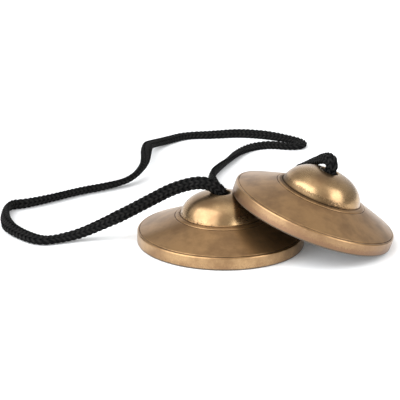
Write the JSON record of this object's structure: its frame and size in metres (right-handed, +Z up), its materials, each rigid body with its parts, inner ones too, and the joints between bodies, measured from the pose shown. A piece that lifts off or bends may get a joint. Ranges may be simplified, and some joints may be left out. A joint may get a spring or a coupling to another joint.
{
  "type": "tingsha cymbals",
  "caption": "Small thick-rimmed bronze hand cymbals with domed bells, joined by a knotted braided cord and struck edge to edge to ring.",
  "frame": {"origin": "on the table, under the middle of the box round the two cymbals", "axes": "+Z up from the table, +X from the cymbal that lies flat towards the one that leans on it, +Y to the back, where the cord lies"},
  "size_m": [0.1576, 0.1887, 0.037],
  "materials": {
    "bronze": "cast, turned and buffed to a worn satin, with dark patina in the low places",
    "cord": "black tubular braid, matt with faint glints",
    "sealed_end": "the same braid, melted shut"
  },
  "bodies": {
    "cord": {"cord_loop": "cord", "lower_knot": "cord", "lower_cord_end": "sealed_end"},
    "lower_cymbal": {"lower_cymbal": "bronze"},
    "upper_cord": {"cord_lead": "cord", "upper_knot": "cord", "upper_cord_end": "sealed_end"},
    "upper_cymbal": {"upper_cymbal": "bronze"}
  },
  "joints": [
    {"name": "lower_cymbal_spin", "type": "hinge", "parent": "cord", "child": "lower_cymbal", "pos_m": [-0.01736, 0, 0.01], "axis": [0, 0, 1], "continuous": true},
    {"name": "upper_cymbal_tilt", "type": "hinge", "parent": "cord", "child": "upper_cord", "pos_m": [0.04801, 0, 0.0006], "axis": [0, 1, 0], "range_deg": [0, 70], "deforming": ["cord_lead"]},
    {"name": "upper_cymbal_spin", "type": "hinge", "parent": "upper_cord", "child": "upper_cymbal", "pos_m": [0.02409, 0, 0.02953], "axis": [0.319, 0, 0.9478], "continuous": true}
  ]
}
